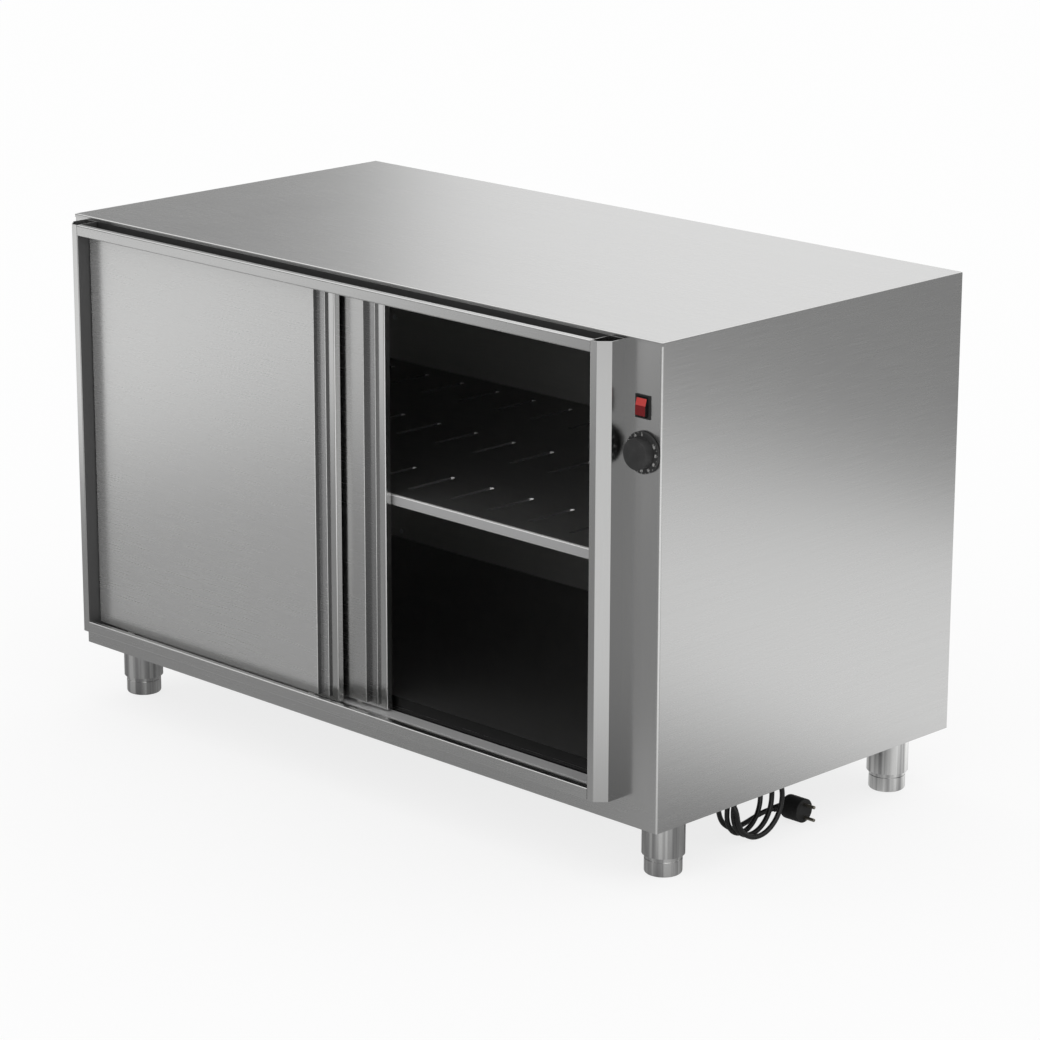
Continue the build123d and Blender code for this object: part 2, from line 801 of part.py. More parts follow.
# The supply cord ends in a terminal block behind the control fascia.
block_x = right - terminal_inset_x
block_y = front + terminal_inset_y
with BuildPart() as terminal_block:
    slab(
        (block_x - terminal_width / 2, block_x + terminal_width / 2),
        (block_y, block_y + terminal_depth),
        (pan_z + skin, pan_z + skin + terminal_height),
    )
    for way in (-1, 0, 1):
        way_x = block_x + way * terminal_pitch
        way_z = pan_z + skin + terminal_height / 2
        rod((way_x, block_y, way_z), (0, 1, 0), terminal_bore, terminal_depth, mode=Mode.SUBTRACT)
terminal_block.part.label = "terminal_block"
export_step(terminal_block.part, "parts/terminal_block.step")

# ---------------------------------------------------------------- feet

plate_top = pan_z
plate_under = plate_top - foot_plate_thickness

# Each foot has a fixed sleeve, closed by a mounting plate, with a nut welded inside it.
with BuildPart() as foot_sleeves:
    with BuildSketch(Plane.XY.offset(cup_visible)):
        with Locations(*foot_centres):
            Circle(sleeve_radius)
            Circle(sleeve_radius - sleeve_wall, mode=Mode.SUBTRACT)
    extrude(amount=plate_under - cup_visible)
    with BuildSketch(Plane.XY.offset(plate_under)):
        with Locations(*foot_centres):
            RectangleRounded(foot_plate, foot_plate, foot_plate_corner_radius)
            with GridLocations(foot_screw_spacing, foot_screw_spacing, 2, 2):
                Circle(screw_radius, mode=Mode.SUBTRACT)
    extrude(amount=foot_plate_thickness)
    with BuildSketch(Plane.XY.offset(foot_nut_start)):
        with Locations(*foot_centres):
            Circle(sleeve_radius - sleeve_wall)
            Circle(stud_radius + running_clearance, mode=Mode.SUBTRACT)
    extrude(amount=foot_nut_height)
foot_sleeves.part.label = "foot_sleeves"
export_step(foot_sleeves.part, "parts/foot_sleeves.step")

# Four screws hold each mounting plate up against the base pan.
with BuildPart() as foot_screws:
    with BuildSketch(Plane.XY.offset(plate_under - screw_head_height)):
        with Locations(*foot_centres):
            with GridLocations(foot_screw_spacing, foot_screw_spacing, 2, 2):
                Circle(screw_head_radius)
    extrude(amount=screw_head_height)
    with BuildSketch(Plane.XY.offset(plate_under)):
        with Locations(*foot_centres):
            with GridLocations(foot_screw_spacing, foot_screw_spacing, 2, 2):
                Circle(screw_radius)
    extrude(amount=foot_plate_thickness + skin)
foot_screws.part.label = "foot_screws"
export_step(foot_screws.part, "parts/foot_screws.step")


def foot_adjuster(centre):
    """The adjustable end of a foot: a cup with a groove round it, on a threaded stud."""
    cup_top = cup_visible + cup_engagement
    with BuildPart() as adjuster:
        with BuildSketch(Plane(origin=(*centre, 0))):
            Circle(cup_radius)
        extrude(amount=cup_top)
        fillet(adjuster.edges().sort_by(Axis.Z)[0], radius=cup_round_radius)
        with BuildSketch(Plane(origin=(*centre, cup_groove_height))):
            Circle(cup_radius)
            Circle(cup_radius - cup_groove_depth, mode=Mode.SUBTRACT)
        extrude(amount=cup_groove_width, mode=Mode.SUBTRACT)
        with BuildSketch(Plane(origin=(*centre, cup_top))):
            Circle(stud_radius)
        extrude(amount=stud_length)
    return adjuster.part


for foot_name, foot_centre in zip(
    ("front_left", "back_left", "front_right", "back_right"),
    foot_centres,
):
    adjuster_part = foot_adjuster(foot_centre)
    adjuster_part.label = f"{foot_name}_foot_adjuster"
    export_step(adjuster_part, f"parts/{foot_name}_foot_adjuster.step")

# ---------------------------------------------------------------- sliding doors


def door(name, door_left, skin_y, rail_z):
    """One sliding door: skin with a folded pull, inner pan, core, axles, rollers and top glides."""
    skin_right = door_left + skin_width
    pan_right = skin_right + pull_width + pull_lip_width + stile_width
    pan_y = skin_y + skin_depth
    door_back = pan_y + pan_depth
    pan_bottom = track_z + door_bottom_gap
    pan_top = track_ceiling_z - door_top_gap
    skin_z = (pan_bottom + skin_margin, pan_top - skin_margin)
    roller_xs = (door_left + roller_inset, pan_right - roller_inset)
    roller_y = pan_y + pan_depth / 2
    roller_z = rail_z + rest_clearance + roller_radius

    # The face sheet folds back on all sides, and its right edge forms the recessed pull.
    with BuildPart() as face:
        slab((door_left, skin_right), (skin_y, pan_y), skin_z)
        fillet(face.faces().sort_by(Axis.Y)[0].edges(), radius=skin_edge_radius)
        slab(
            (door_left + door_sheet, skin_right - door_sheet),
            (skin_y + door_sheet, pan_y),
            (skin_z[0] + door_sheet, skin_z[1] - door_sheet),
            mode=Mode.SUBTRACT,
        )
        pull_right = skin_right + pull_width
        lip_right = pull_right + pull_lip_width
        slab((skin_right, pull_right), (skin_y + pull_depth, pan_y), skin_z)
        slab((pull_right, lip_right), (skin_y + pull_lip_depth, pan_y), skin_z)
        lip_edges = face.edges().filter_by(Axis.Z).filter_by_position(Axis.X, pull_right, lip_right)
        fillet(lip_edges.group_by(Axis.Y)[0], radius=lip_edge_radius)
        slab(
            (pull_right + door_sheet, lip_right - door_sheet),
            (skin_y + pull_lip_depth + door_sheet, pan_y),
            skin_z,
            mode=Mode.SUBTRACT,
        )
    face.part.label = f"{name}_skin"
    export_step(face.part, f"parts/{name}_skin.step")

    # The pan closes the back. Its front edges turn in, and the right one shows beside the pull.
    with BuildPart() as pan:
        slab((door_left, pan_right), (pan_y, door_back), (pan_bottom, pan_top))
        corners = pan.edges().filter_by(Axis.Z).group_by(Axis.X)[-1]
        fillet(corners.sort_by(Axis.Y)[0], radius=stile_radius)
        slab(
            (door_left + door_sheet, pan_right - door_sheet),
            (pan_y + door_sheet, door_back - door_sheet),
            (pan_bottom + door_sheet, pan_top - door_sheet),
            mode=Mode.SUBTRACT,
        )
        slab(
            (door_left + pan_flange, skin_right - pan_flange),
            (pan_y, pan_y + door_sheet),
            (pan_bottom + pan_flange, pan_top - pan_flange),
            mode=Mode.SUBTRACT,
        )
        for roller_x in roller_xs:
            slab(
                (roller_x - roller_radius - roller_pocket, roller_x + roller_radius + roller_pocket),
                (pan_y + door_sheet, door_back - door_sheet),
                (pan_bottom, pan_bottom + door_sheet),
                mode=Mode.SUBTRACT,
            )
    pan.part.label = f"{name}_pan"
    export_step(pan.part, f"parts/{name}_pan.step")

    # A flat core stiffens the door and leaves a pocket over each roller.
    with BuildPart() as core:
        slab(
            (door_left + door_sheet, pan_right - door_sheet),
            (pan_y + door_sheet, door_back - door_sheet),
            (pan_bottom + door_sheet, pan_top - door_sheet),
        )
        for roller_x in roller_xs:
            slab(
                (roller_x - roller_radius - roller_pocket, roller_x + roller_radius + roller_pocket),
                (pan_y + door_sheet, door_back - door_sheet),
                (pan_bottom + door_sheet, roller_z + roller_radius + roller_pocket),
                mode=Mode.SUBTRACT,
            )
    core.part.label = f"{name}_core"
    export_step(core.part, f"parts/{name}_core.step")

    with BuildPart() as axles:
        for roller_x in roller_xs:
            rod(
                (roller_x, pan_y + door_sheet, roller_z),
                (0, 1, 0),
                axle_radius,
                pan_depth - 2 * door_sheet,
            )
    axles.part.label = f"{name}_axles"
    export_step(axles.part, f"parts/{name}_axles.step")

    with BuildPart() as glides:
        for glide_x in roller_xs:
            slab(
                (glide_x - glide_length / 2, glide_x + glide_length / 2),
                (roller_y - glide_width / 2, roller_y + glide_width / 2),
                (pan_top, pan_top + glide_thickness),
            )
    glides.part.label = f"{name}_glides"
    export_step(glides.part, f"parts/{name}_glides.step")

    for roller_side, roller_x in zip(("left", "right"), roller_xs):
        with BuildPart() as roller:
            rod((roller_x, roller_y - roller_width / 2, roller_z), (0, 1, 0), roller_radius, roller_width)
            rod(
                (roller_x, roller_y - roller_width / 2, roller_z),
                (0, 1, 0),
                axle_radius + running_clearance,
                roller_width,
                mode=Mode.SUBTRACT,
            )
        roller.part.label = f"{name}_{roller_side}_roller"
        export_step(roller.part, f"parts/{name}_{roller_side}_roller.step")


door("front_door", opening_left + door_side_gap, front_door_y, track_z)
door("rear_door", opening_left + door_side_gap + rear_door_shift, rear_door_y, rear_rail_z)

# ---------------------------------------------------------------- cord

# A threaded gland clamps the cord in the base pan, and a tapered sleeve eases its bend.
with BuildPart() as cable_gland:
    rod((gland_x, gland_y, pan_z), (0, 0, -1), gland_radius, gland_length)
    rod((gland_x, gland_y, pan_z), (0, 0, 1), gland_thread_radius, gland_thread_length)
    with BuildSketch(Plane((gland_x, gland_y, pan_z - gland_length))):
        Circle(relief_radius)
    with BuildSketch(Plane((gland_x, gland_y, pan_z - gland_length - relief_length))):
        Circle(cord_radius + relief_wall)
    loft()
    rod(
        (gland_x, gland_y, pan_z - gland_length - relief_length),
        (0, 0, 1),
        cord_radius,
        relief_length + gland_length + gland_thread_length,
        mode=Mode.SUBTRACT,
    )
cable_gland.part.label = "cable_gland"
export_step(cable_gland.part, "parts/cable_gland.step")


def cord_tube(points):
    """A round tube along straight runs, joined by arcs as large as the runs allow."""
    corners = [Vector(*point) for point in points]
    radii = []
    for before, corner, after in zip(corners, corners[1:], corners[2:]):
        arriving = corner - before
        leaving = after - corner
        half_turn = radians(arriving.get_angle(leaving)) / 2
        radii.append(bend_share * min(arriving.length, leaving.length) / tan(half_turn))
    with BuildPart() as tube:
        with BuildLine() as route:
            FilletPolyline(*points, radius=radii)
        with BuildSketch(Plane(origin=points[0], z_dir=corners[1] - corners[0])):
            Circle(cord_radius)
        sweep()
    length = sum(edge.length for edge in route.edges())
    section = pi * cord_radius**2
    print("cord radii", [round(radius, 1) for radius in radii], "length", round(length, 1))
    print("cord volume", round(tube.part.volume, 1), "section by length", round(section * length, 1))
    return tube.part


# The cord leaves the gland straight down and enters the coil from above.
coil_y = front + coil_inset_y
coil_z = coil_outer_radius + coil_floor_gap
coil_left = right - coil_inset_x - coil_width
with BuildPart() as cord_lead:
    rod(
        (gland_x, gland_y, pan_z + gland_thread_length),
        (0, 0, -1),
        cord_radius,
        pan_z + gland_thread_length - coil_z,
    )
cord_lead.part.label = "cord_lead"
export_step(cord_lead.part, "parts/cord_lead.step")

# The coil hangs in upright turns, side by side under the base.
with BuildPart() as cord_coil:
    rod((coil_left, coil_y, coil_z), (1, 0, 0), coil_outer_radius, coil_width)
    rod((coil_left, coil_y, coil_z), (1, 0, 0), coil_inner_radius, coil_width, mode=Mode.SUBTRACT)
    fillet(cord_coil.edges().filter_by(GeomType.CIRCLE), radius=cord_radius / 2)
cord_coil.part.label = "cord_coil"
export_step(cord_coil.part, "parts/cord_coil.step")

# A clip under the base pan gathers the turns at the top.
with BuildPart() as cord_clip:
    slab(
        (coil_left - cord_clip_wall, coil_left + coil_width + cord_clip_wall),
        (coil_y - cord_clip_width / 2, coil_y + cord_clip_width / 2),
        (coil_z + coil_inner_radius - cord_clip_wall, pan_z),
    )
    add(cord_coil.part, mode=Mode.SUBTRACT)
cord_clip.part.label = "cord_clip"
export_step(cord_clip.part, "parts/cord_clip.step")

# The tail leaves the bottom of the coil, runs back along the floor and bends into the plug.
plug_x = right - plug_inset_x
plug_y = front + plug_inset_y
plug_z = plug_radius
plug_end = Vector(plug_x, plug_y, plug_z)
neck_way = Vector(-0.5, -0.85, -0.17).normalized()
neck_tip = plug_end + neck_way * plug_neck_length
lay_z = cord_radius + coil_floor_gap
turn_radius = (coil_outer_radius + coil_inner_radius) / 2
tail_points = [
    (
        coil_left + tail_start_inset,
        coil_y - tail_start_reach,
        coil_z - sqrt(turn_radius**2 - tail_start_reach**2),
    ),
    (coil_left - tail_near_gap, coil_y - tail_near_reach, lay_z),
    (coil_left - tail_middle_gap, coil_y + tail_middle_reach, lay_z),
    (coil_left - tail_far_gap, coil_y + tail_far_reach, tail_far_height),
    tuple(neck_tip + neck_way * tail_straight_length),
    tuple(neck_tip - neck_way * tail_lap_length),
]
cord_tail = cord_tube(tail_points)
cord_tail.label = "cord_tail"
export_step(cord_tail, "parts/cord_tail.step")

# The plug is round, with two round pins, and its tapered neck leaves it at an angle.
with BuildPart() as cord_plug:
    with BuildSketch(Plane(origin=plug_end - neck_way * plug_neck_root, z_dir=neck_way)):
        Circle(plug_neck_radius)
    with BuildSketch(Plane(origin=neck_tip, z_dir=neck_way)):
        Circle(cord_radius + relief_wall)
    loft()
    rod((plug_x, plug_y, plug_z), (1, 0, 0), plug_radius, plug_body_length)
    rims = cord_plug.edges().filter_by(GeomType.CIRCLE).group_by(SortBy.RADIUS)[-1]
    fillet(rims.sort_by(Axis.X)[0], radius=plug_shoulder_radius)
    fillet(cord_plug.edges().filter_by(GeomType.CIRCLE).sort_by(Axis.X)[-1], radius=plug_rim_radius)
cord_plug.part.label = "cord_plug"
export_step(cord_plug.part, "parts/cord_plug.step")

with BuildPart() as plug_pins:
    for side in (-1, 1):
        pin_start = (plug_x + plug_body_length, plug_y, plug_z + side * pin_spacing / 2)
        rod(pin_start, (1, 0, 0), pin_radius, pin_length)
    fillet(plug_pins.edges().filter_by(GeomType.CIRCLE).group_by(Axis.X)[-1], radius=pin_tip_radius)
plug_pins.part.label = "plug_pins"
export_step(plug_pins.part, "parts/plug_pins.step")
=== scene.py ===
import math

import bmesh
import bpy
from mathutils import Matrix, Vector


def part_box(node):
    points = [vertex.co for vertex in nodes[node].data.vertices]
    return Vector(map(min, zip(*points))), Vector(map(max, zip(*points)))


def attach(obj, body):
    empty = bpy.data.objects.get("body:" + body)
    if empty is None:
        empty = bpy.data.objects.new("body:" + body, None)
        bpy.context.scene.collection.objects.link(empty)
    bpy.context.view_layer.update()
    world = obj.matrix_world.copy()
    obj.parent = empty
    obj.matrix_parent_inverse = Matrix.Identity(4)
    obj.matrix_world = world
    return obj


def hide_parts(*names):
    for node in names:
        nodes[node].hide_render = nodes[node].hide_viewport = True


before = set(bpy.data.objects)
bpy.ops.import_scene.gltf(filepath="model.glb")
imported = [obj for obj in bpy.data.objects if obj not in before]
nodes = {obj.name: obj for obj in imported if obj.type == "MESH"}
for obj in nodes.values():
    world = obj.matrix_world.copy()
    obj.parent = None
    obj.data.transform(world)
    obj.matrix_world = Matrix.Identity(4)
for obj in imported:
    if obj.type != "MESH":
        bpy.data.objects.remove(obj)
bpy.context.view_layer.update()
scene = bpy.context.scene
scene.view_settings.view_transform = "Standard"

# ---------------------------------------------------------------- camera
# A long lens looks down a little at the corner with the controls, so both the doors and
# the right-hand side show.
lens_mm = 130.47
sensor_mm = 36.0
sight_limit = 100
camera_place = (3.7955, -3.7872, 1.8698)
look_azimuth = math.radians(44.6476)
look_down = math.radians(15.8928)
horizon_tilt = math.radians(0.1381)
camera_data = bpy.data.cameras.new("camera")
camera_data.lens = lens_mm
camera_data.sensor_width = sensor_mm
camera_data.clip_end = sight_limit
camera = bpy.data.objects.new("camera", camera_data)
scene.collection.objects.link(camera)
camera.matrix_world = (
    Matrix.Translation(camera_place)
    @ Matrix.Rotation(look_azimuth, 4, "Z")
    @ Matrix.Rotation(math.pi / 2 - look_down, 4, "X")
    @ Matrix.Rotation(horizon_tilt, 4, "Z")
)
scene.camera = camera


# ---------------------------------------------------------------- mains cord
# A black rubber flex comes down from its gland under the cabinet, is wound into three loose
# turns that hang in a clip, and ends in a moulded two-pin plug that lies behind them.
class Signal:
    """A number on its way through a tree of nodes, which arithmetic can be done on."""

    def __init__(self, wiring, socket):
        self.wiring = wiring
        self.socket = socket

    def reckon(self, operation, first, second):
        return self.wiring.add("ShaderNodeMath", {"operation": operation}, {0: first, 1: second})

    def __add__(self, other):
        return self.reckon("ADD", self, other)

    def __radd__(self, other):
        return self.reckon("ADD", other, self)

    def __sub__(self, other):
        return self.reckon("SUBTRACT", self, other)

    def __rsub__(self, other):
        return self.reckon("SUBTRACT", other, self)

    def __mul__(self, other):
        return self.reckon("MULTIPLY", self, other)

    def __rmul__(self, other):
        return self.reckon("MULTIPLY", other, self)

    def __truediv__(self, other):
        return self.reckon("DIVIDE", self, other)

    def __rtruediv__(self, other):
        return self.reckon("DIVIDE", other, self)

    def __lt__(self, other):
        return self.reckon("LESS_THAN", self, other)

    def __gt__(self, other):
        return self.reckon("GREATER_THAN", self, other)

    def between(self, low, high):
        """0 at low, 1 at high, and smooth from one to the other."""
        return self.wiring.add(
            "ShaderNodeMapRange", {"interpolation_type": "SMOOTHSTEP"}, {0: self, 1: low, 2: high}
        )


class Wiring:
    """A tree of nodes, and the one way in which nodes are added to it."""

    def __init__(self, tree):
        self.tree = tree

    def add(self, kind, settings=None, inputs=None, output=0):
        node = self.tree.nodes.new(kind)
        for name, value in (settings or {}).items():
            setattr(node, name, value)
        for key, value in (inputs or {}).items():
            self.join(node.inputs[key], value)
        return Signal(self, node.outputs[output])

    def join(self, socket, value):
        if isinstance(value, Signal):
            self.tree.links.new(value.socket, socket)
        else:
            socket.default_value = value


class Finish(Wiring):
    """A procedural material and its shader."""

    def __init__(self, name, **constants):
        self.material = bpy.data.materials.new(name)
        self.material.use_nodes = True
        super().__init__(self.material.node_tree)
        self.shader = self.tree.nodes["Principled BSDF"]
        for socket, value in constants.items():
            self.shader.inputs[socket.replace("_", " ")].default_value = value

    def feed(self, socket, value):
        self.join(self.shader.inputs[socket], value)

    def place(self, scale=(1, 1, 1)):
        """The object's own coordinates in metres, multiplied for a pattern."""
        where = self.add("ShaderNodeTexCoord", output="Object")
        return self.add("ShaderNodeMapping", inputs={"Vector": where, "Scale": scale})

    def parts(self, source):
        """The three numbers of the Object coordinates or of the surface's own Normal."""
        whole = self.add("ShaderNodeTexCoord", output=source)
        first = self.add("ShaderNodeSeparateXYZ", inputs={0: whole})
        return [Signal(self, socket) for socket in first.socket.node.outputs]

    def noise(self, where, scale=1.0, detail=2.0, roughness=0.5):
        return self.add(
            "ShaderNodeTexNoise",
            inputs={"Vector": where, "Scale": scale, "Detail": detail, "Roughness": roughness},
        )

    def tint(self, factor, first, second):
        """A colour that goes from first to second as factor goes from 0 to 1."""
        return self.add(
            "ShaderNodeMix",
            {"data_type": "RGBA"},
            {
                0: factor,
                6: (*first, 1) if isinstance(first, tuple) else first,
                7: (*second, 1) if isinstance(second, tuple) else second,
            },
            output=2,
        )

    def emboss(self, height, depth, strength=1.0):
        bump = self.add(
            "ShaderNodeBump",
            inputs={"Height": height, "Distance": depth, "Strength": strength},
        )
        self.feed("Normal", bump)


def grey(level):
    """A neutral colour of that lightness."""
    return (level, level, level)


def moulded(name, colour, roughness, grain=0.00006, speck=900.0, shine=0.3):
    """Moulded plastic or rubber with a fine spark-eroded skin and faint handling marks."""
    handling_scale = 26
    made = Finish(name, Specular_IOR_Level=shine)
    skin = made.noise(made.place(), speck, 3)
    marks = made.noise(made.place(), handling_scale, 4, 0.6)
    lighter = tuple(min(1, 1.5 * part + 0.006) for part in colour)
    made.feed("Base Color", made.tint(marks.between(0.35, 0.75), colour, lighter))
    made.feed("Roughness", roughness - 0.06 + 0.1 * marks)
    made.emboss(skin, grain, 0.5)
    return made.material


def dress(node, material):
    """Gives a solid its finish. Its shape stays as it is."""
    for held in nodes[node].material_slots:
        held.material = material


flex_diameter = 0.0074
flex_rubber = moulded("flex_rubber", grey(0.012), 0.3, 0.00003, 1600, shine=0.6)
plug_plastic = moulded("plug_plastic", grey(0.014), 0.5)
# Each turn passes these places at the front side of the coil, and these at its back.
coil_front = [(0.560, -0.0827), (0.5526, -0.0817), (0.5425, -0.083), (0.525, -0.0835)]
coil_back = [(0.5585, 0.0147), (0.5405, 0.013), (0.523, 0.0085)]
coil_low = 0.0039
points_a_turn = 16
half_turn = points_a_turn // 2
spline_shrink = math.cos(math.pi / points_a_turn)
flex_exit = (0.550, -0.0845, 0.080)
route = [flex_exit, (0.5503, -0.0846, 0.072), (0.5545, -0.0858, 0.063)]
stations = [place for pair in zip(coil_front, coil_back) for place in pair] + [coil_front[-1]]
for half, (start, end) in enumerate(zip(stations, stations[1:])):
    radius = abs(end[1] - start[1]) / 2
    middle = (start[1] + end[1]) / 2
    side = -1 if half % 2 == 0 else 1
    for step in range(half_turn):
        swept = step / half_turn
        x = start[0] + (end[0] - start[0]) * swept
        y = middle + (start[1] - middle) * math.cos(math.pi * swept) / spline_shrink
        z = coil_low + radius + side * radius * math.sin(math.pi * swept) / spline_shrink
        route.append((x, y, z))
route += [
    (0.525, -0.0838, 0.051),
    (0.5245, -0.076, 0.027),
    (0.5265, -0.0595, 0.0131),
    (0.5155, -0.036, 0.0039),
    (0.5113, -0.0074, 0.0039),
    (0.5101, 0.0176, 0.008),
    (0.5143, 0.0335, 0.0124),
    (0.5213, 0.0454, 0.0148),
    (0.5293, 0.059, 0.0175),
]
flex_curve = bpy.data.curves.new("mains_flex", "CURVE")
flex_curve.dimensions = "3D"
flex_curve.bevel_depth = flex_diameter / 2
flex_curve.bevel_resolution = 4
flex_curve.resolution_u = 6
flex_curve.use_fill_caps = True
flex_line = flex_curve.splines.new("NURBS")
flex_line.points.add(len(route) - 1)
for held, place in zip(flex_line.points, route):
    held.co = (*place, 1)
flex_line.order_u = 3
flex_line.use_endpoint_u = True
flex_curve.materials.append(flex_rubber)
flex = bpy.data.objects.new("mains_flex", flex_curve)
scene.collection.objects.link(flex)
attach(flex, "cabinet")
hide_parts("cord_lead", "cord_coil", "cord_tail")
for node in ("cord_plug", "cable_gland", "cord_clip"):
    dress(node, plug_plastic)
pin_tones = (0.3, 0.28, 0.24), (0.5, 0.47, 0.4)
pin_brass = Finish("pin_brass", Metallic=1.0)
pin_wear = pin_brass.noise(pin_brass.place(), 240, 4, 0.6)
pin_brass.feed("Base Color", pin_brass.tint(pin_wear, *pin_tones))
pin_brass.feed("Roughness", 0.22 + 0.16 * pin_wear)
dress("plug_pins", pin_brass.material)


# ---------------------------------------------------------------- outer shell
# The worktop, sides, back and fascias are folded from 1 mm stainless sheet with a brushed
# face, and hooked over one another. A recessed pan closes the shell underneath.
steel_tone = (0.66, 0.66, 0.655)
# A near-white tone for painted highlights on folds and bends, and for the bright end of the
# feet's painted reflection bands.
painted_highlight_tone = (0.97, 0.97, 0.96)
# A near-black tone for painted shade on faces turned to the front.
painted_shade_tone = grey(0.04)
brush_depth = 0.00001


def brushed(
    name,
    grain,
    colour=steel_tone,
    roughness=0.26,
    metal=1.0,
    bend_highlight=0.8,
    mill_back=False,
    shaded_front=False,
):
    """Stainless sheet brushed along one axis, with faint clouds, painted highlights on its folds
    and, where asked, painted shade on its front-turned faces.
    """
    fine_along, fine_across = 14.0, 900.0
    long_along, long_across = 1.6, 260.0
    cloud_scale = 3.2
    flat = 0.87
    made = Finish(name, Metallic=metal)
    axis = "xyz".index(grain)
    fine_scale = [fine_along if i == axis else fine_across for i in range(3)]
    long_scale = [long_along if i == axis else long_across for i in range(3)]
    fine = made.noise(made.place(fine_scale), 1, 3, 0.6)
    long = made.noise(made.place(long_scale), 1, 3)
    clouds = made.noise(made.place(), cloud_scale, 3, 0.55)
    light = 0.5 + 0.14 * (fine - 0.5) + 0.06 * (long - 0.5) + 0.04 * (clouds - 0.5)
    dark = tuple(0.55 * part for part in colour)
    bright = tuple(min(1, 1.45 * part) for part in colour)
    sideways, backways, upways = made.parts("Normal")
    # Painted highlight: folds and bends, where the normal leans off every axis, are coloured near
    # white.
    highlit_bend = (sideways * sideways < flat) * (backways * backways < flat) * (upways * upways < flat)
    face = made.tint(light, dark, bright)
    # Painted shade: faces turned to the front are coloured near black.
    if shaded_front:
        face = made.tint(backways < -0.5, face, painted_shade_tone)
    made.feed("Base Color", made.tint(highlit_bend * bend_highlight, face, painted_highlight_tone))
    rough = roughness + 0.1 * (fine - 0.5) + 0.04 * (clouds - 0.5)
    if mill_back:
        unpolished = backways > 0.5
        made.feed("Metallic", metal - 0.7 * unpolished)
        rough = rough + 0.3 * unpolished
    made.feed("Roughness", rough)
    made.emboss(fine, brush_depth, 0.06)
    return made.material


steel_along_x = brushed("brushed_steel_lengthways", "x")
steel_along_y = brushed("brushed_steel_depthways", "y")
steel_along_z = brushed("brushed_steel_upright", "z", roughness=0.2)
for node in ("worktop", "back_panel", "front_rail"):
    dress(node, steel_along_x)
for node in ("left_side_panel", "right_side_panel"):
    dress(node, steel_along_y)
for node in ("left_fascia", "control_fascia"):
    dress(node, steel_along_z)
dress("base_pan", brushed("pan_steel", "x", grey(0.3), 0.42, metal=0.7))


# ---------------------------------------------------------------- worktop board and wool
# Pressed board stiffens the worktop from inside. Mineral wool is packed between shell and
# chamber, and a slab of it fills each door.
board_tones = (0.3, 0.2, 0.11), (0.52, 0.38, 0.22)
pressed_board = Finish("pressed_board")
chips = pressed_board.noise(pressed_board.place(), 420, 4, 0.7)
pressed_board.feed("Base Color", pressed_board.tint(chips, *board_tones))
pressed_board.feed("Roughness", 0.7 + 0.2 * chips)
pressed_board.emboss(chips, 0.0002, 0.6)
dress("worktop_board", pressed_board.material)
wool_tones = (0.36, 0.3, 0.15), (0.62, 0.55, 0.33)
wool = Finish("mineral_wool")
fibres = wool.noise(wool.place((90, 90, 700)), 1, 5, 0.7)
wool.feed("Base Color", wool.tint(fibres, *wool_tones))
wool.feed("Roughness", 0.85 + 0.12 * fibres)
wool.emboss(fibres, 0.0008, 0.8)
for node in ("insulation_blanket", "front_door_core", "rear_door_core"):
    dress(node, wool.material)


# ---------------------------------------------------------------- door frame and tracks
# Two chamfered upright tubes and two cross bars frame the opening, polished in front and
# left as rolled behind. The doors run in a folded steel track with an aluminium rail.
brush_tones = (0.363, 0.363, 0.36), (0.957, 0.957, 0.95)
# Painted shade: the jambs' outer sides and the sides that look into the opening are coloured
# darker.
jamb_outer_shade_tone = grey(0.32)
jamb_inner_shade_tone = grey(0.13)


def jamb_steel(name, inner_way):
    """Brushed upright steel, with painted shade on its outer side, and darker painted shade, less
    metal and more roughness where it looks into the opening.
    """
    made = Finish(name)
    fine = made.noise(made.place((1100, 1100, 14)), 1, 3, 0.6)
    sideways = made.parts("Normal")[0]
    inner = inner_way * sideways > 0.9
    outer = -inner_way * sideways > 0.9
    polished = made.tint(0.5 + 0.14 * (fine - 0.5), *brush_tones)
    outer_shaded = made.tint(outer, polished, jamb_outer_shade_tone)
    made.feed("Base Color", made.tint(inner, outer_shaded, jamb_inner_shade_tone))
    made.feed("Metallic", 1 - 0.4 * inner)
    made.feed("Roughness", 0.2 + 0.1 * (fine - 0.5) + 0.25 * inner)
    made.emboss(fine, brush_depth, 0.15)
    return made.material


dress("left_frame_jamb", jamb_steel("left_jamb_steel", 1))
dress("right_frame_jamb", jamb_steel("right_jamb_steel", -1))
dress("frame_bars", brushed("bar_steel", "x", mill_back=True))
# The track's faces that turn to the front are coloured near black: painted shade.
dress("lower_track", brushed("track_steel", "x", mill_back=True, shaded_front=True))
dress("rear_rail", brushed("rail_aluminium", "x", grey(0.75), 0.58, metal=0.5))
# The upper track is coloured near black: painted shade of the deep trough behind the top bar.
dress("upper_track", brushed("upper_track_painted_shade", "x", grey(0.06), 0.5, metal=0.5))


# ---------------------------------------------------------------- heated chamber
# The chamber is lined with plain steel, coloured darker than the shell as painted shade. A
# slotted steel shelf, with painted light on its lip, edges, slot ends and slot walls, rests on
# two angles that are screwed to the liners.
# The chamber steel's tone is darker than the shell's: painted shade.
inner_shade_tone = (0.42, 0.42, 0.41)
chamber_along_x = brushed("chamber_steel_lengthways", "x", inner_shade_tone, 0.45, metal=0.35)
chamber_along_y = brushed("chamber_steel_depthways", "y", inner_shade_tone, 0.45, metal=0.35)
for node in ("chamber_ceiling", "back_chamber_liner"):
    dress(node, chamber_along_x)
for node in ("left_chamber_liner", "right_chamber_liner", "shelf_brackets"):
    dress(node, chamber_along_y)
# The floor is coloured dark, with its front-turned faces near black: painted shade.
floor_steel = brushed(
    "chamber_floor_steel", "x", grey(0.3), 0.4, metal=0.96, bend_highlight=0, shaded_front=True
)
dress("chamber_floor", floor_steel)
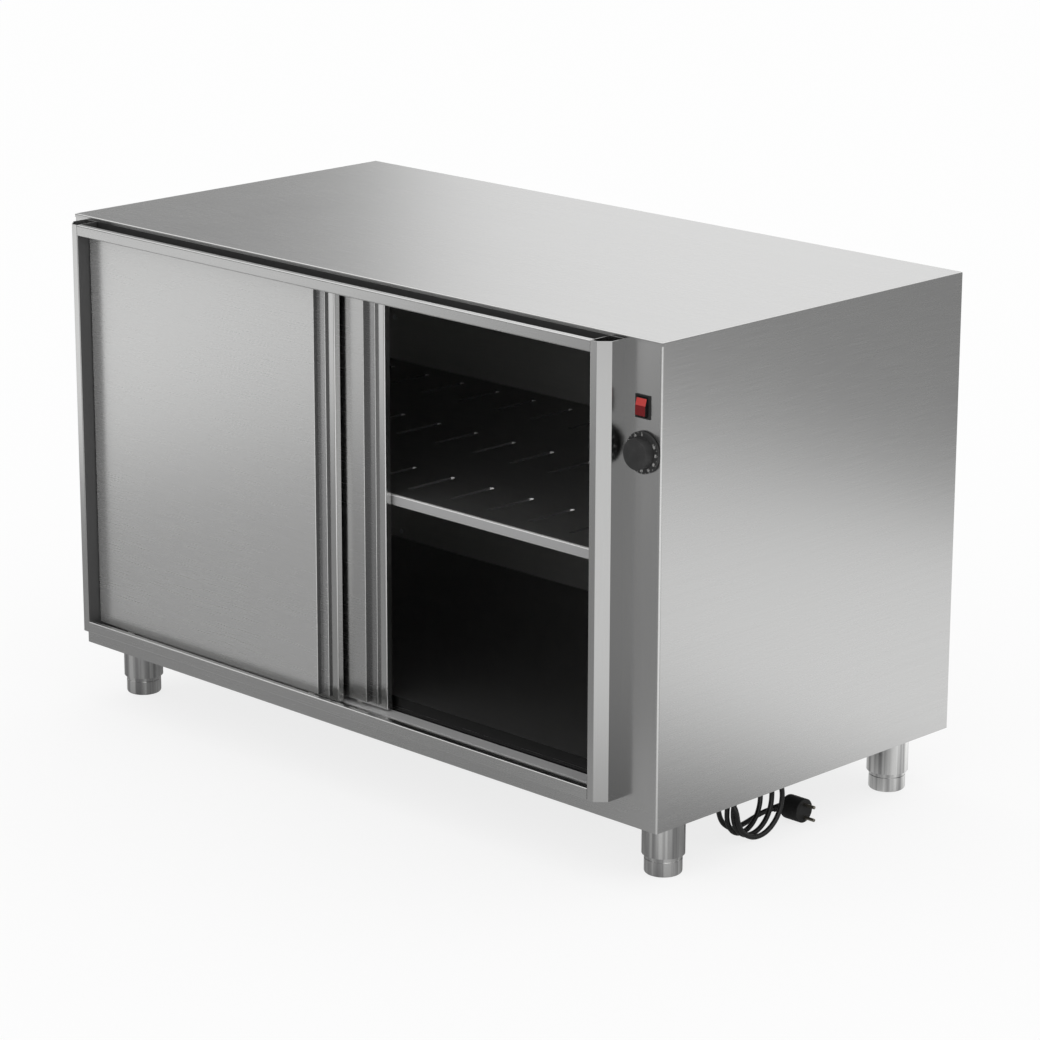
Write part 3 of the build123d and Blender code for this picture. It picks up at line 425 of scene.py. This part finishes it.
# The shelf's own tones are dark as painted shade.
shelf_tones = grey(0.2), grey(0.36)
lit_lip_tone = grey(0.5)
slot_side_light_tone = grey(0.15)
shelf_highlight_tone = (0.95, 0.95, 0.94)
lip_depth = 0.004
lip_highlight_height = 0.0018
shelf_low, shelf_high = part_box("shelf")
shelf_steel = Finish("shelf_steel")
shelf_grain = shelf_steel.noise(shelf_steel.place((14, 1100, 1100)), 1, 3, 0.6)
shelf_depth, shelf_height = shelf_steel.parts("Object")[1:]
sideways, backways = shelf_steel.parts("Normal")[:2]
# Painted light: the front lip is coloured lighter than the shelf's top. Its top edge and the
# slots' far ends are near white as painted highlights, and slot walls facing right get a diffuse
# tone that shows as light lines.
lip = shelf_depth < shelf_low[1] + lip_depth
lip_highlight = lip * (shelf_height > shelf_high[2] - lip_highlight_height)
lit_slot_end = (backways < -0.3) * (shelf_depth > shelf_low[1] + lip_depth)
lit_slot_side = sideways > 0.5
plain = shelf_steel.tint(shelf_grain, *shelf_tones)
lipped = shelf_steel.tint(lip, plain, lit_lip_tone)
slotted = shelf_steel.tint(lit_slot_side, lipped, slot_side_light_tone)
shelf_steel.feed("Base Color", shelf_steel.tint(lit_slot_end + lip_highlight, slotted, shelf_highlight_tone))
shelf_steel.feed("Metallic", 0.93 - 0.43 * lip - 0.93 * lit_slot_end - 0.6 * lit_slot_side)
shelf_steel.feed("Roughness", 0.4 + 0.1 * shelf_grain)
dress("shelf", shelf_steel.material)


# ---------------------------------------------------------------- heater and fixings
# A sheathed rod element lies in zinc-plated clips under the chamber. The same plating is on
# the screws and the axles of the door rollers.
sheath_tones = (0.1, 0.085, 0.07), (0.24, 0.2, 0.16)
sheath = Finish("element_sheath", Metallic=0.8)
scale_marks = sheath.noise(sheath.place(), 70, 4, 0.65)
sheath.feed("Base Color", sheath.tint(scale_marks, *sheath_tones))
sheath.feed("Roughness", 0.42 + 0.2 * scale_marks)
dress("heating_element", sheath.material)
zinc_tones = (0.46, 0.48, 0.5), (0.7, 0.71, 0.72)
plating = Finish("zinc_plating", Metallic=1.0)
bloom = plating.noise(plating.place(), 210, 3, 0.6)
plating.feed("Base Color", plating.tint(bloom, *zinc_tones))
plating.feed("Roughness", 0.26 + 0.2 * bloom)
for node in ("element_clips", "chamber_screws", "foot_screws"):
    dress(node, plating.material)


# ---------------------------------------------------------------- sliding doors
# Each door is a steel pan with a folded skin whose edge is turned out as a pull. It hangs on
# nylon rollers on steel axles, and nylon glides steady it above.
nylon = moulded("nylon", (0.62, 0.62, 0.59), 0.42, 0.00004, 1200)
# A tone for painted shade on the skin's sunk faces.
recess_shade_tone = grey(0.42)
face_slack = 0.0025


def door_steel(name, face_at, metal, return_shade_tone):
    """Door skin brushed lengthways, with painted shade on what is folded back from its face and
    on its sunk faces, and painted highlights on its bends.
    """
    made = Finish(name, Metallic=metal)
    fine = made.noise(made.place((14, 900, 900)), 1, 3, 0.6)
    clouds = made.noise(made.place(), 3.2, 3, 0.55)
    face = made.tint(0.5 + 0.14 * (fine - 0.5) + 0.04 * (clouds - 0.5), *brush_tones)
    depth = made.parts("Object")[1]
    sideways, backways = made.parts("Normal")[:2]
    # Painted shade: faces turned sideways and sunk faces behind the skin's face are coloured
    # darker. Bends are coloured near white as painted highlights.
    shaded_return = sideways * sideways > 0.6
    shaded_recess = (depth > face_at + face_slack) * (backways < -0.9)
    highlit_bend = (sideways * sideways > 0.05) * (backways * backways > 0.05)
    shaded = made.tint(shaded_recess, face, recess_shade_tone)
    shaded = made.tint(shaded_return, shaded, return_shade_tone)
    made.feed("Base Color", made.tint(highlit_bend, shaded, painted_highlight_tone))
    made.feed("Roughness", 0.26 + 0.1 * (fine - 0.5) + 0.04 * (clouds - 0.5))
    made.emboss(fine, brush_depth, 0.06)
    return made.material


# Each door's tone for what is folded back is its own painted shade, darker on the front door.
for door, metal, return_shade_tone in (
    ("front_door", 0.74, grey(0.16)),
    ("rear_door", 1.0, grey(0.27)),
):
    skin_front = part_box(door + "_skin")[0][1]
    dress(door + "_skin", door_steel(door + "_steel", skin_front, metal, return_shade_tone))
    dress(door + "_pan", steel_along_z)
    dress(door + "_axles", plating.material)
    for part in ("_glides", "_left_roller", "_right_roller"):
        dress(door + part, nylon)


# ---------------------------------------------------------------- rocker switch
# A snap-in switch of black plastic. Its rocker carries a red lens, bright where the upper
# half faces the light and deep red below the ridge.
dress("switch_body", moulded("switch_plastic", grey(0.013), 0.34))
lens_reds = (0.16, 0.006, 0.008), (0.5, 0.05, 0.045)
rim_tone = grey(0.011)
lens_ridge = 0.0022
lens_rim = 0.0016
rocker_low, rocker_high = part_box("rocker")
ridge = (rocker_low[2] + rocker_high[2]) / 2 + lens_ridge
lens = Finish("red_lens", Specular_IOR_Level=0.3)
moulding = lens.noise(lens.place(), 700, 3)
across, _, height = lens.parts("Object")
reds = lens.tint(height > ridge, *lens_reds)
in_width = (across > rocker_low[0] + lens_rim) * (across < rocker_high[0] - lens_rim)
in_height = (height > rocker_low[2] + lens_rim) * (height < rocker_high[2] - lens_rim)
in_lens = (lens.parts("Normal")[1] < -0.6) * in_width * in_height
lens.feed("Base Color", lens.tint(in_lens, rim_tone, reds))
lens.feed("Roughness", 0.2 + 0.12 * moulding)
lens.emboss(moulding, 0.00003, 0.4)
dress("rocker", lens.material)


# ---------------------------------------------------------------- thermostat knob
# A black moulded knob is pushed onto the thermostat's shaft. Its skirt is printed in white
# with a scale from 0 to 100, which runs against the turn so that each number comes to the top.
dress("knob", moulded("knob_plastic", grey(0.026), 0.5, 0.00009, 1100))
skirt_thickness = 0.004
print_thickness = 0.00012
tick_length = 0.0014
tick_width = 0.0004
tick_inset = 0.0012
number_height = 0.0046
number_inset = 0.0044
scale_turn = math.radians(300)
scale_numbers = tuple(str(10 * ten) for ten in range(11))
knob_low, knob_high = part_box("knob")
skirt_radius = (knob_high[0] - knob_low[0]) / 2
skirt_middle = Vector(
    (
        (knob_low[0] + knob_high[0]) / 2,
        knob_high[1] - skirt_thickness,
        (knob_low[2] + knob_high[2]) / 2,
    )
)
to_skirt = Matrix.Translation(skirt_middle + Vector((0, -print_thickness / 2, 0)))
print_tones = (0.5, 0.5, 0.49), (0.78, 0.78, 0.76)
print_white = Finish("dial_print", Roughness=0.5)
worn = print_white.noise(print_white.place(), 900, 3, 0.6)
print_white.feed("Base Color", print_white.tint(worn, *print_tones))

ticks_tree = bpy.data.node_groups.new("dial_ticks", "GeometryNodeTree")
ticks_tree.interface.new_socket("Geometry", in_out="OUTPUT", socket_type="NodeSocketGeometry")
tick_inputs = {}
for label, kind, value in (
    ("Count", "NodeSocketInt", 2 * len(scale_numbers) - 1),
    ("Turn", "NodeSocketFloat", -scale_turn),
    ("Radius", "NodeSocketFloat", skirt_radius - tick_inset),
    ("Length", "NodeSocketFloat", tick_length),
    ("Width", "NodeSocketFloat", tick_width),
):
    socket = ticks_tree.interface.new_socket(label, in_out="INPUT", socket_type=kind)
    tick_inputs[socket.identifier] = value

ticks = Wiring(ticks_tree)
group_input = ticks_tree.nodes.new("NodeGroupInput")
given = {socket.name: Signal(ticks, socket) for socket in group_input.outputs}
bar_size = ticks.add(
    "ShaderNodeCombineXYZ", inputs={0: given["Width"], 1: print_thickness, 2: given["Length"]}
)
bar = ticks.add("GeometryNodeMeshCube", inputs={"Size": bar_size})
bar_out = ticks.add("ShaderNodeCombineXYZ", inputs={2: given["Radius"]})
bar_placed = ticks.add("GeometryNodeTransform", inputs={"Geometry": bar, "Translation": bar_out})
centre_points = ticks.add(
    "GeometryNodeMeshLine", inputs={"Count": given["Count"], "Offset": (0, 0, 0)}
)
swing = ticks.add("GeometryNodeInputIndex") * (given["Turn"] / (given["Count"] - 1))
swung = ticks.add("ShaderNodeCombineXYZ", inputs={1: swing})
spread = ticks.add(
    "GeometryNodeInstanceOnPoints",
    inputs={"Points": centre_points, "Instance": bar_placed, "Rotation": swung},
)
real = ticks.add("GeometryNodeRealizeInstances", inputs={0: spread})
inked = ticks.add(
    "GeometryNodeSetMaterial", inputs={"Geometry": real, "Material": print_white.material}
)
ticks.join(ticks_tree.nodes.new("NodeGroupOutput").inputs[0], inked)


def settle(holder, name):
    """Turns an object as it is evaluated into a plain mesh object of its own."""
    scene.collection.objects.link(holder)
    ready = holder.evaluated_get(bpy.context.evaluated_depsgraph_get())
    mesh = bpy.data.meshes.new_from_object(ready)
    bpy.data.objects.remove(holder)
    made = bpy.data.objects.new(name, mesh)
    scene.collection.objects.link(made)
    return made


tick_holder = bpy.data.objects.new("tick_holder", bpy.data.meshes.new("tick_holder"))
tick_modifier = tick_holder.modifiers.new("ticks", "NODES")
tick_modifier.node_group = ticks_tree
for identifier, value in tick_inputs.items():
    tick_modifier[identifier] = value
dial_ticks = settle(tick_holder, "dial_ticks")
dial_ticks.data.transform(to_skirt)
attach(dial_ticks, "control_knob")

all_numbers = bmesh.new()
for place, words in enumerate(scale_numbers):
    letters = bpy.data.curves.new("scale_number", "FONT")
    letters.body = words
    letters.size = number_height
    letters.extrude = print_thickness / 2
    letters.align_x = "CENTER"
    letters.align_y = "CENTER"
    printed = settle(bpy.data.objects.new("scale_number", letters), "scale_number")
    turned = -scale_turn * place / (len(scale_numbers) - 1)
    printed.data.transform(
        to_skirt
        @ Matrix.Rotation(turned, 4, "Y")
        @ Matrix.Translation((0, 0, skirt_radius - number_inset))
        @ Matrix.Rotation(math.pi / 2, 4, "X")
    )
    all_numbers.from_mesh(printed.data)
    bpy.data.objects.remove(printed)
number_mesh = bpy.data.meshes.new("dial_numbers")
all_numbers.to_mesh(number_mesh)
all_numbers.free()
number_mesh.materials.append(print_white.material)
dial_numbers = bpy.data.objects.new("dial_numbers", number_mesh)
scene.collection.objects.link(dial_numbers)
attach(dial_numbers, "control_knob")


# ---------------------------------------------------------------- thermostat and terminals
# A capillary thermostat with a black plastic housing is clamped behind the fascia. The cord's
# wires end in a white terminal block on the base.
dress("thermostat_body", moulded("thermostat_plastic", grey(0.02), 0.45))
for node in ("thermostat_shaft", "thermostat_bulb"):
    dress(node, plating.material)
dress("terminal_block", nylon)


# ---------------------------------------------------------------- feet
# Four drawn stainless tube legs, with upright bands of painted reflection, are screwed under the
# pan. In each a cup on a threaded stud is turned to level the cabinet.
foot_steel = Finish("foot_steel", Metallic=1.0)
foot_grain = foot_steel.noise(foot_steel.place((900, 900, 14)), 1, 3, 0.6)
# Painted reflection: bright and dark upright bands from noise stand in for what the polished
# tubes mirror.
painted_reflection_bands = foot_steel.noise(foot_steel.place((85, 85, 1.5)), 1, 2, 0.5).between(0.36, 0.62)
grain_and_reflection = painted_reflection_bands + 0.12 * (foot_grain - 0.5)
foot_steel.feed("Base Color", foot_steel.tint(grain_and_reflection, grey(0.42), painted_highlight_tone))
foot_steel.feed("Roughness", 0.2 + 0.1 * foot_grain)
dress("foot_sleeves", foot_steel.material)
for corner in ("front_left", "back_left", "front_right", "back_right"):
    dress(corner + "_foot_adjuster", foot_steel.material)


# ---------------------------------------------------------------- floor and light
# A white paper floor and sweep. The steel mirrors lit pools on it and a dimmer floor between
# them, as in a studio whose lamps stand round the object.
def rays(wiring):
    """Whether a ray comes from the camera, from a glossy surface or through a clear one."""
    kinds = ("Is Camera Ray", "Is Glossy Ray", "Is Transmission Ray")
    return [wiring.add("ShaderNodeLightPath", output=kind) for kind in kinds]


floor_half = 30.0
paper_tone = 0.95
paper_glow = 0.8
unlit_floor = 0.12
# Each pool's middle, its half widths, the share of them that is fully lit, and its brightness.
pools = (
    ((-3.5, -1.8, 0), (2.5, 2.2), 0.5, 0.87),
    ((1.2, 0.87, 0), (3.0, 1.02), 0.32, 0.8),
    ((2.2, -2.0, 0), (2.6, 2.6), 0.5, 0.66),
    ((-1.0, -0.7, 0), (0.95, 0.95), 0.37, 0.04),
    ((0.1, -0.4, 0), (0.9, 0.45), 0.5, 0.08),
)
floor_mesh = bpy.data.meshes.new("studio_floor")
floor_mesh.from_pydata(
    [(x * floor_half, y * floor_half, 0) for x, y in ((-1, -1), (1, -1), (1, 1), (-1, 1))],
    [],
    [(0, 1, 2, 3)],
)
floor = bpy.data.objects.new("studio_floor", floor_mesh)
scene.collection.objects.link(floor)
paper = Finish("studio_paper", Roughness=0.9)
paper.shader.inputs["Base Color"].default_value = (*grey(paper_tone), 1)
seen, mirrored, through = rays(paper)
spot = paper.add("ShaderNodeTexCoord", output="Object")
lit = unlit_floor
for middle, (half_x, half_y), inner, gain in pools:
    apart = paper.add("ShaderNodeVectorMath", {"operation": "SUBTRACT"}, {0: spot, 1: middle})
    shares = paper.add(
        "ShaderNodeVectorMath",
        {"operation": "MULTIPLY"},
        {0: apart, 1: (1 / half_x, 1 / half_y, 0)},
    )
    away = paper.add("ShaderNodeVectorMath", {"operation": "LENGTH"}, {0: shares}, output=1)
    lit = lit + gain * away.between(1, inner)
glow = paper.add(
    "ShaderNodeEmission",
    inputs={"Color": (1, 1, 1, 1), "Strength": seen + through + mirrored * lit},
)
plain_paper = Signal(paper, paper.shader.outputs[0])
share = paper_glow * (seen + through + mirrored)
surface = paper.add("ShaderNodeMixShader", inputs={0: share, 1: plain_paper, 2: glow})
paper.join(paper.tree.nodes["Material Output"].inputs[0], surface)
floor_mesh.materials.append(paper.material)

# The far wall is lit from its middle towards the right. The ceiling is a little dimmer.
wall_way = (0.711, 0.703, 0)
unlit_wall = 0.3
wall_gain = 0.65
ceiling_gain = 0.55
world = bpy.data.worlds.new("studio")
scene.world = world
world.use_nodes = True
sky = Wiring(world.node_tree)
seen, mirrored, through = rays(sky)
direction = sky.add("ShaderNodeTexCoord", output="Generated")
along_wall = sky.add(
    "ShaderNodeVectorMath",
    {"operation": "DOT_PRODUCT"},
    {0: direction, 1: wall_way},
    output=1,
)
overhead = sky.add("ShaderNodeSeparateXYZ", inputs={0: direction}, output=2)
bright_wall = along_wall.between(-0.045, -0.02) * (1 - along_wall.between(0.3, 0.7))
ceiling = overhead.between(0.4, 0.6)
wall = unlit_wall + wall_gain * bright_wall * (1 - ceiling) + ceiling_gain * ceiling
rest = (1 - seen) * (1 - mirrored) * (1 - through)
background = world.node_tree.nodes["Background"]
background.inputs["Color"].default_value = (1, 1, 1, 1)
sky.join(background.inputs["Strength"], seen + through + mirrored * wall + rest)
